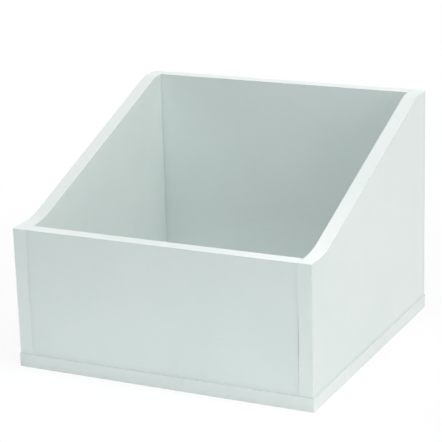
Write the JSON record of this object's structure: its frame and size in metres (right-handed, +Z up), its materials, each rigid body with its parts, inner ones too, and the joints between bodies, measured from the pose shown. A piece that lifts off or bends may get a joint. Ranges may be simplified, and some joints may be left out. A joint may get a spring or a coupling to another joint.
{
  "type": "record storage box",
  "caption": "Open-topped box of white laminated board, low at the front, with sides that sweep up to a high back, for keeping records on edge.",
  "frame": {"origin": "middle of the base's underside, on the surface that the box stands on", "axes": "+X across the front to the right as seen from the front, +Y from front to back, +Z up"},
  "size_m": [0.36, 0.35, 0.27],
  "materials": {
    "laminated_board": "white melamine-faced chipboard, satin with a fine grain",
    "edge_band": "white plastic edge band, satin",
    "cam_zinc": "die-cast zinc, dull",
    "plated_steel": "bright zinc-plated steel",
    "beech": "bare beech"
  },
  "bodies": {
    "box": {"base_board": "laminated_board", "base_band_front": "edge_band", "base_band_back": "edge_band", "base_band_left": "edge_band", "base_band_right": "edge_band", "left_side_board": "laminated_board", "left_band_top": "edge_band", "left_band_front": "edge_band", "left_band_back": "edge_band", "right_side_board": "laminated_board", "right_band_top": "edge_band", "right_band_front": "edge_band", "right_band_back": "edge_band", "front_board": "laminated_board", "front_band_top": "edge_band", "back_board": "laminated_board", "back_band_top": "edge_band", "cam_bolts": "plated_steel", "wall_dowels": "beech", "base_dowels": "beech", "base_screws": "plated_steel"},
    "cam_front_left_lower": {"cam_front_left_lower": "cam_zinc"},
    "cam_front_left_upper": {"cam_front_left_upper": "cam_zinc"},
    "cam_front_right_lower": {"cam_front_right_lower": "cam_zinc"},
    "cam_front_right_upper": {"cam_front_right_upper": "cam_zinc"},
    "cam_back_left_lower": {"cam_back_left_lower": "cam_zinc"},
    "cam_back_left_upper": {"cam_back_left_upper": "cam_zinc"},
    "cam_back_right_lower": {"cam_back_right_lower": "cam_zinc"},
    "cam_back_right_upper": {"cam_back_right_upper": "cam_zinc"}
  },
  "joints": [
    {"name": "cam_front_left_lower_turn", "type": "hinge", "parent": "box", "child": "cam_front_left_lower", "pos_m": [-0.1388, -0.158, 0.053], "axis": [0, 1, 0], "range_deg": [0, 180]},
    {"name": "cam_front_left_upper_turn", "type": "hinge", "parent": "box", "child": "cam_front_left_upper", "pos_m": [-0.1388, -0.158, 0.126], "axis": [0, 1, 0], "range_deg": [0, 180]},
    {"name": "cam_front_right_lower_turn", "type": "hinge", "parent": "box", "child": "cam_front_right_lower", "pos_m": [0.1388, -0.158, 0.053], "axis": [0, 1, 0], "range_deg": [0, 180]},
    {"name": "cam_front_right_upper_turn", "type": "hinge", "parent": "box", "child": "cam_front_right_upper", "pos_m": [0.1388, -0.158, 0.126], "axis": [0, 1, 0], "range_deg": [0, 180]},
    {"name": "cam_back_left_lower_turn", "type": "hinge", "parent": "box", "child": "cam_back_left_lower", "pos_m": [-0.1388, 0.174, 0.053], "axis": [0, 1, 0], "range_deg": [0, 180]},
    {"name": "cam_back_left_upper_turn", "type": "hinge", "parent": "box", "child": "cam_back_left_upper", "pos_m": [-0.1388, 0.174, 0.233], "axis": [0, 1, 0], "range_deg": [0, 180]},
    {"name": "cam_back_right_lower_turn", "type": "hinge", "parent": "box", "child": "cam_back_right_lower", "pos_m": [0.1388, 0.174, 0.053], "axis": [0, 1, 0], "range_deg": [0, 180]},
    {"name": "cam_back_right_upper_turn", "type": "hinge", "parent": "box", "child": "cam_back_right_upper", "pos_m": [0.1388, 0.174, 0.233], "axis": [0, 1, 0], "range_deg": [0, 180]}
  ]
}
